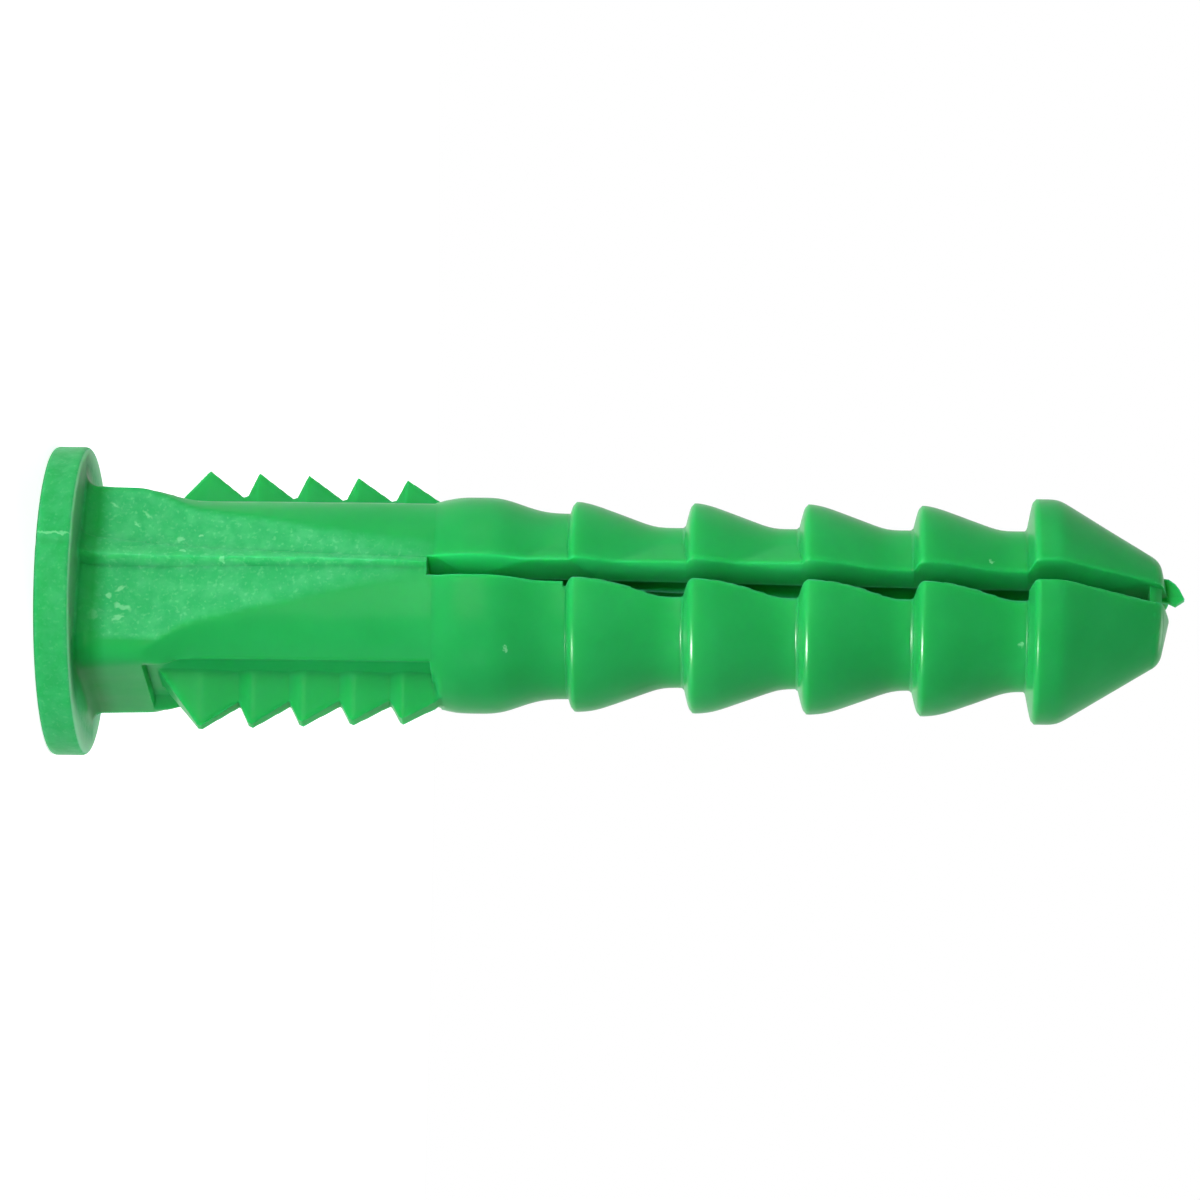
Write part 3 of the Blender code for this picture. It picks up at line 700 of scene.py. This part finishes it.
base_green = blended("RGBA", cloud, CLEAR_GREEN, CLOUDY_GREEN)
# Frosted faces turn paler. On the flange's rim, part of that paleness is painted highlight.
pale_green = blended("RGBA", frost_and_painted_sheen_mask, base_green, FROSTED_AND_HIGHLIGHT_GREEN)
pale_green = blended("RGBA", mottle, pale_green, MOTTLED_GREEN)
# Painted sheen: the flange's underside is made pale, as if light lay on it.
pale_green = blended("RGBA", painted_underside_sheen_mask, pale_green, PAINTED_UNDERSIDE_SHEEN_GREEN)
marked_green = blended("RGBA", product(speck, SPECK_SHARE), pale_green, SPECK_GREEN)
# Pale scuffs, and the painted glints.
marked_green = blended("RGBA", product(scuffs_and_glints, SCUFF_AND_GLINT_SHARE), marked_green, SCUFF_AND_GLINT_GREEN)

# Little light gets to the neck's foot, so it is deeper in colour. The walls of the slit glow with the
# light that comes through the plastic, most where the slit starts.
parts_of_place = plastic_nodes.new("ShaderNodeSeparateXYZ")
plastic_links.new(coordinates.outputs["Object"], parts_of_place.inputs[0])
from_slit = plastic_nodes.new("ShaderNodeMath")
from_slit.operation = "ABSOLUTE"
plastic_links.new(parts_of_place.outputs["X"], from_slit.inputs[0])
plastic_height = parts_of_place.outputs["Z"]
root_start = stretched(plastic_height, low=FLANGE_THICKNESS, high=FLANGE_THICKNESS + 0.05 * MM)
root_end = stretched(plastic_height, low=FLANGE_THICKNESS + 1.0 * MM, high=FLANGE_THICKNESS + 0.5 * MM)
neck_root = product(product(root_start, root_end), NECK_ROOT_SHARE)
marked_green = blended("RGBA", neck_root, marked_green, NECK_ROOT_GREEN)
# The painted glow also reaches the rounded lips of the slit, as a painted highlight along them.
by_slit = stretched(from_slit.outputs[0], low=0.42 * MM, high=0.36 * MM)
in_slit = product(by_slit, stretched(plastic_height, low=SHANK_END - 0.3 * MM, high=SHANK_END - 0.1 * MM))
along_slit = stretched(plastic_height, low=15.0 * MM, high=21.0 * MM)
slit_share = blended("FLOAT", along_slit, SLIT_START_SHARE, SLIT_END_SHARE)
marked_green = blended("RGBA", product(in_slit, slit_share), marked_green, SLIT_GREEN)
plastic_links.new(marked_green, shader.inputs["Base Color"])
plastic_links.new(blended("FLOAT", frost_and_painted_sheen_mask, ROUGHNESS, FROSTED_ROUGHNESS), shader.inputs["Roughness"])
shader.inputs["Subsurface Weight"].default_value = 1.0
shader.inputs["Subsurface Radius"].default_value = (0.35, 1.0, 0.5)
shader.inputs["Subsurface Scale"].default_value = 0.0009
shader.inputs["Specular IOR Level"].default_value = 0.045
shader.inputs["IOR"].default_value = 1.50

skin_bump = plastic_nodes.new("ShaderNodeBump")
skin_bump.inputs["Strength"].default_value = 0.25
skin_bump.inputs["Distance"].default_value = 0.02 * MM
plastic_links.new(grain(scale=1500.0), skin_bump.inputs["Height"])
frost_bump = plastic_nodes.new("ShaderNodeBump")
frost_bump.inputs["Distance"].default_value = 0.06 * MM
plastic_links.new(product(frost_and_painted_sheen_mask, FROST_BUMP_SHARE), frost_bump.inputs["Strength"])
plastic_links.new(grain(scale=2200.0, detail=4.0, distortion=0.5), frost_bump.inputs["Height"])
plastic_links.new(skin_bump.outputs["Normal"], frost_bump.inputs["Normal"])
plastic_links.new(frost_bump.outputs["Normal"], shader.inputs["Normal"])
set_plastic.inputs["Material"].default_value = plastic

# The slit and the gate mark
# A thin blade in the mould leaves the slit between the legs. A web bridges it at the tips, and where
# the shot was broken off the gate a torn flake is left.
SLIT_START = SHANK_END - 0.20 * MM
RELIEF_TOP = 3.60 * MM
RELIEF_ROOT = 1.10 * MM
WEB_START = NOSE_END - 0.80 * MM
WEB_RECESS = 0.40 * MM
WEB_HALF_WIDTH = 1.0 * MM
BLADE_REACH = 6.0 * MM
BLADE_OVERRUN = 1.0 * MM
BLADE_STEP = 0.03 * MM
RELIEF_STEP = 0.01 * MM
CONE_FLASH = ((0.05, 0.0), (0.95, 0.0), (0.95, 0.05), (1.7, 0.09), (2.15, 0.11), (2.15, 0.04), (2.6, 0.05),
              (2.6, 0.0))
GATE_OUTLINE = ((-0.36, -0.30), (-1.16, -0.30), (-1.06, 0.30), (-0.88, 0.52), (-0.68, 0.66), (-0.32, 0.82),
                (-0.12, 0.52), (-0.24, 0.30))


def closed_loft(name, loops):
    """Closed solid through loops of as many points, with flat ends."""
    shape = bmesh.new()
    rings = [[shape.verts.new(point) for point in loop] for loop in loops]
    for lower, upper in zip(rings, rings[1:]):
        for index in range(len(lower)):
            following = (index + 1) % len(lower)
            shape.faces.new((lower[index], lower[following], upper[following], upper[index]))
    shape.faces.new(rings[0])
    shape.faces.new(rings[-1])
    bmesh.ops.recalc_face_normals(shape, faces=shape.faces)
    mesh = bpy.data.meshes.new(name)
    shape.to_mesh(mesh)
    shape.free()
    lofted = bpy.data.objects.new(name, mesh)
    bpy.context.collection.objects.link(lofted)
    return lofted


def combine(target, tool, operation):
    """Cut a tool out of the target, or join it on."""
    modifier = target.modifiers.new(tool.name, "BOOLEAN")
    modifier.operation = operation
    modifier.solver = "EXACT"
    modifier.object = tool


def settle(target):
    """Make a plain mesh of an object with its modifiers, and remove them."""
    evaluated = target.evaluated_get(bpy.context.evaluated_depsgraph_get())
    mesh = bpy.data.meshes.new_from_object(evaluated)
    target.modifiers.clear()
    target.data = mesh


def blade_loop(level, flash, relief):
    """Section of the blade. One wall leans to cut a lip back, and flash stands into the slit there."""
    half = SLIT_WIDTH / 2.0
    near = half - flash
    root = near + relief * (RELIEF_TOP - RELIEF_ROOT) * LIP_LEAN
    front = [(-half, -BLADE_REACH), (near, -BLADE_REACH), (near, -RELIEF_TOP), (root, -RELIEF_ROOT),
             (half, RELIEF_STEP - RELIEF_ROOT)]
    return [(x, y, level) for x, y in front] + [(-x, -y, level) for x, y in front]


def blade_loops():
    """The flash runs down each cone and breaks off in steps before the next shoulder."""
    loops = [blade_loop(SLIT_START, 0.0, 0.0), blade_loop(RINGS_START, 0.0, 0.0)]
    for ring in range(RING_COUNT):
        start = RINGS_START + ring * RING_PITCH + (FIRST_RING_EXTRA if ring else 0.0)
        for index, (along, flash) in enumerate(CONE_FLASH):
            loops.append(blade_loop(start + along * MM + index * BLADE_STEP, flash * MM, 1.0))
    loops.append(blade_loop(LAST_RING_START, 0.0, 1.0))
    loops.append(blade_loop(LAST_RING_START + BLADE_STEP, 0.0, 0.0))
    loops.append(blade_loop(NOSE_END + BLADE_OVERRUN, 0.0, 0.0))
    return loops


blade = closed_loft("blade", blade_loops())
web_reach = NOSE_END_RADIUS + (NOSE_EDGE - WEB_START) * NOSE_SLOPE - WEB_RECESS
web_outline = [(web_reach, WEB_START), (NOSE_END_RADIUS - WEB_RECESS, NOSE_EDGE),
               (WEB_RECESS - NOSE_END_RADIUS, NOSE_EDGE), (-web_reach, WEB_START)]
web_loops = [[(x, y, z) for y, z in web_outline] for x in (-WEB_HALF_WIDTH, WEB_HALF_WIDTH)]
web = closed_loft("web", web_loops)
combine(blade, web, "DIFFERENCE")
settle(blade)


def gate_face(depth_at_edge, lean):
    """One face of the torn flake, which leans as it rises past the nose's edge."""
    return [(x * MM, (depth_at_edge - lean * z) * MM, NOSE_EDGE + z * MM) for x, z in GATE_OUTLINE]


gate = closed_loft("gate", [gate_face(-0.44, 0.10), gate_face(-0.20, 0.08)])

shaping = moulding.modifiers.new("form", "NODES")
shaping.node_group = form
for identifier, value in form_sizes.items():
    shaping[identifier] = value
combine(moulding, blade, "DIFFERENCE")
combine(moulding, gate, "UNION")
settle(moulding)
for tool in (blade, web, gate):
    bpy.data.objects.remove(tool, do_unlink=True)
moulding.data.materials.clear()
moulding.data.materials.append(plastic)
moulding.data.shade_smooth()
moulding.data.set_sharp_from_angle(angle=math.radians(60.0))
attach(moulding, "root")
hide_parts("wall_anchor")

# The table, the light and the camera
# A plain white table under the flange, a white room and soft lamps. The camera looks level at the
# slit's side, a little past the plane of the slit, and lies on its side.
VIEW_TURN = math.radians(22.5)
VIEW_RISE = math.radians(2.4)
VIEW_DISTANCE = 184.0 * MM
VIEW_FIELD = math.radians(12.7)
VIEW_ROLL = math.radians(0.66)
VIEW_CENTRE = Vector((0.0, 0.0, 18.7 * MM))
VIEW_LIFT = 0.24 * MM
TABLE_RADIUS = 0.18
TABLE_GLOW = 0.80
ROOM_STRENGTH = 0.12
PANEL_FLOOR = Vector((0.0, 0.0, 0.02 * MM))
WHITE = (1.0, 1.0, 1.0)
UP = Vector((0.0, 0.0, 1.0))

level_back = Vector((math.sin(VIEW_TURN), -math.cos(VIEW_TURN), 0.0))
back = level_back * math.cos(VIEW_RISE) + Vector((0.0, 0.0, math.sin(VIEW_RISE)))
picture_up = Vector((-math.cos(VIEW_TURN), -math.sin(VIEW_TURN), 0.0))
picture_up = Matrix.Rotation(VIEW_ROLL, 3, back) @ picture_up
picture_right = picture_up.cross(back)
camera_data = bpy.data.cameras.new("camera")
camera_data.lens_unit = "FOV"
camera_data.angle = VIEW_FIELD
camera_data.clip_start = 0.01
camera = bpy.data.objects.new("camera", camera_data)
bpy.context.collection.objects.link(camera)
turned_axes = Matrix((picture_right, picture_up, back)).transposed().to_4x4()
camera_place = VIEW_CENTRE + picture_up * VIEW_LIFT + back * VIEW_DISTANCE
camera.matrix_world = Matrix.Translation(camera_place) @ turned_axes
bpy.context.scene.camera = camera

table_shape = bmesh.new()
bmesh.ops.create_circle(table_shape, cap_ends=True, segments=96, radius=TABLE_RADIUS)
table_mesh = bpy.data.meshes.new("table")
table_shape.to_mesh(table_mesh)
table_shape.free()
table = bpy.data.objects.new("table", table_mesh)
bpy.context.collection.objects.link(table)
table_paint = bpy.data.materials.new("table_paint")
table_paint.use_nodes = True
table_nodes = table_paint.node_tree.nodes
table_links = table_paint.node_tree.links
table_shader = table_nodes["Principled BSDF"]
table_shader.inputs["Base Color"].default_value = (0.86, 0.86, 0.86, 1.0)
table_shader.inputs["Roughness"].default_value = 0.9
table_shader.inputs["Emission Color"].default_value = (1.0, 1.0, 1.0, 1.0)


def rays_that_see(nodes, links):
    """1 for the rays of the camera, of gloss and of glass, and 0 for those that light a surface."""
    ray = nodes.new("ShaderNodeLightPath")
    total = ray.outputs["Is Camera Ray"]
    for kind in ("Is Glossy Ray", "Is Transmission Ray"):
        either = nodes.new("ShaderNodeMath")
        either.operation = "MAXIMUM"
        links.new(total, either.inputs[0])
        links.new(ray.outputs[kind], either.inputs[1])
        total = either.outputs[0]
    return total


table_glow = table_nodes.new("ShaderNodeMath")
table_glow.operation = "MULTIPLY"
table_glow.inputs[1].default_value = TABLE_GLOW
table_links.new(rays_that_see(table_nodes, table_links), table_glow.inputs[0])
table_links.new(table_glow.outputs[0], table_shader.inputs["Emission Strength"])
table.data.materials.append(table_paint)

room = bpy.data.worlds.new("room")
bpy.context.scene.world = room
room.use_nodes = True
room_nodes = room.node_tree.nodes
room_links = room.node_tree.links
room_light = room_nodes["Background"]
room_light.inputs["Color"].default_value = (1.0, 1.0, 1.0, 1.0)
room_strength = room_nodes.new("ShaderNodeMapRange")
room_strength.inputs["To Min"].default_value = ROOM_STRENGTH
room_links.new(rays_that_see(room_nodes, room_links), room_strength.inputs["Value"])
room_links.new(room_strength.outputs["Result"], room_light.inputs["Strength"])


def soft_lamp(name, place, direction, extent, power, colour):
    """Rectangular lamp that shines against its direction. Its extent is its width and its length."""
    lamp_data = bpy.data.lights.new(name, "AREA")
    lamp_data.shape = "RECTANGLE"
    lamp_data.size = extent[0]
    lamp_data.size_y = extent[1]
    lamp_data.energy = power
    lamp_data.color = colour
    lamp = bpy.data.objects.new(name, lamp_data)
    bpy.context.collection.objects.link(lamp)
    lamp.location = place
    lamp.rotation_mode = "QUATERNION"
    lamp.rotation_quaternion = direction.to_track_quat("Z", "Y")
    return lamp


def lamp_round_anchor(name, direction, distance, rise, extent, power, colour):
    """Lamp beside the anchor, level with a point of its axis that is so far from the middle."""
    away = direction.normalized()
    soft_lamp(name, VIEW_CENTRE + away * distance + Vector((0.0, 0.0, rise)), away, extent, power, colour)


# A key lamp in front of the neck, a warm lamp above it in the picture and a weak cool one below.
lamp_round_anchor("key_lamp", level_back + picture_up * 0.25, distance=0.10, rise=-12.5 * MM,
                  extent=(0.10, 0.011), power=0.072, colour=(1.0, 0.98, 0.94))
lamp_round_anchor("top_lamp", picture_up + level_back * 0.15, distance=0.30, rise=0.0,
                  extent=(0.20, 0.03), power=0.10, colour=(1.0, 0.86, 0.70))
lamp_round_anchor("low_lamp", Vector((0.98, -0.17, 0.0)), distance=0.20, rise=-10.0 * MM,
                  extent=(0.05, 0.01), power=0.040, colour=(0.60, 0.90, 1.0))

# A soft lamp behind the nose lights the flange's underside and the back.
lamp_round_anchor("nose_lamp", Vector((0.0, 0.6, 1.0)), distance=0.20, rise=0.0,
                  extent=(0.08, 0.08), power=0.18, colour=WHITE)

# Flat panels lie on the table and shine up, as a light table does: a wide one round the flange and a
# smaller one in front of it, on the side of the upper leg.
front_place = PANEL_FLOOR + level_back * 0.060 + picture_up * 0.045
panels = (("table_panel", PANEL_FLOOR, 0.30, 0.13), ("front_panel", front_place, 0.12, 0.055))
for panel_name, panel_place, panel_width, panel_power in panels:
    panel = soft_lamp(panel_name, panel_place, -UP, extent=(panel_width, panel_width),
                      power=panel_power, colour=WHITE)
    panel.visible_camera = False
    panel.visible_glossy = False

# A small lamp on the table shows only in the plastic's shine, on the rounded shoulders of the rings.
GLINT_DISTANCE = 25.0 * MM
glint_way = Vector((0.951, -0.309, 0.0))
glint = soft_lamp("glint_lamp", glint_way * GLINT_DISTANCE + UP * MM, glint_way * 0.90 - UP,
                  extent=(0.006, 0.003), power=0.005, colour=WHITE)
glint.data.spread = math.radians(28.0)
glint.visible_camera = False
glint.visible_diffuse = False

bpy.context.scene.view_settings.view_transform = "Standard"
